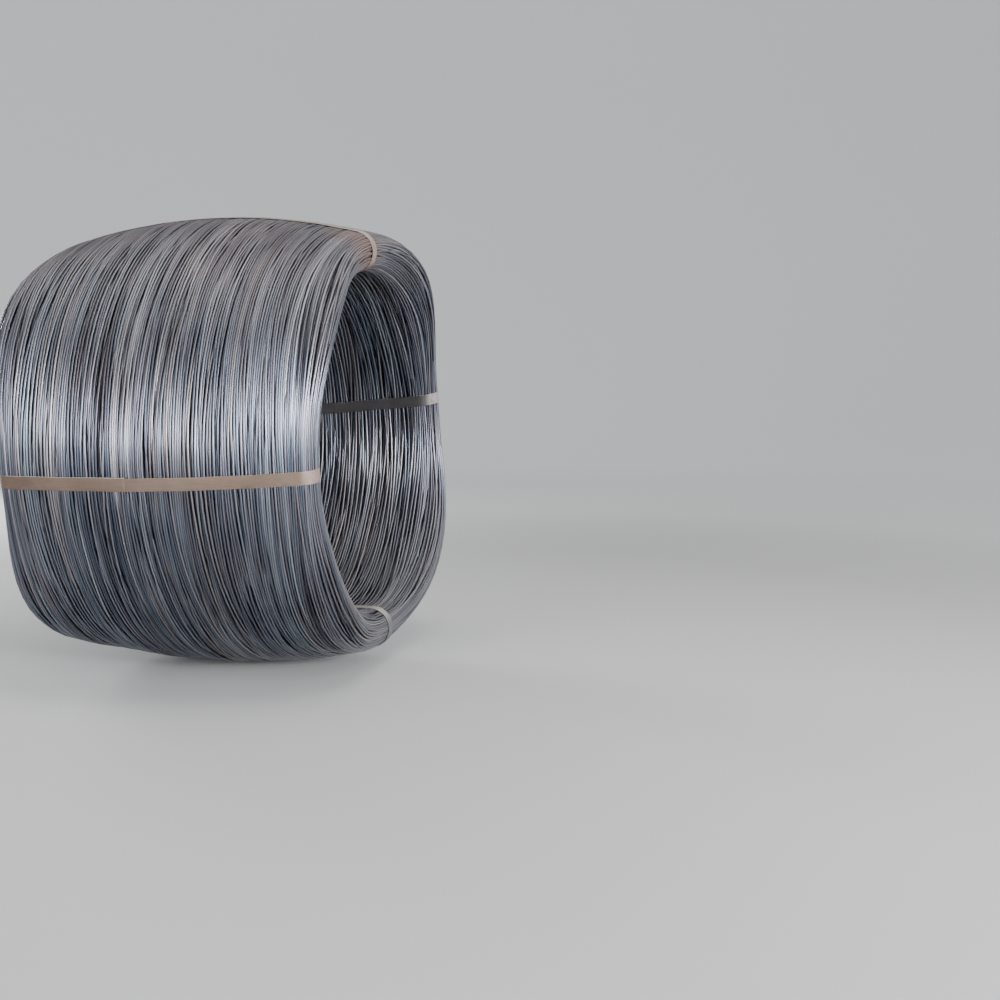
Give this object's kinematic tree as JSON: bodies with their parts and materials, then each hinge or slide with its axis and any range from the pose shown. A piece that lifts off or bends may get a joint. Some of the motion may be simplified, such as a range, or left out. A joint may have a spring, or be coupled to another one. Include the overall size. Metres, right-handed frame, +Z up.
{
  "type": "coil of wire rod",
  "caption": "Strapped coil of hot-rolled steel wire rod lying on its side, with a round bore from end to end.",
  "frame": {"origin": "on the floor, straight below the middle of the coil", "axes": "+X along the coil's axis, out of the end with the bore that the picture shows; +Z up; +Y to the far side, away from the front strap"},
  "size_m": [0.8859, 1.1999, 1.1999],
  "materials": {
    "wire": "hot-rolled mill scale, dull blue-grey, dusty on top",
    "strap": "tan-brown waxed steel strapping, dull"
  },
  "bodies": {
    "root": {"wire_rod": "wire", "strap_front": "strap", "strap_back": "strap", "strap_top": "strap", "strap_bottom": "strap"}
  },
  "joints": []
}
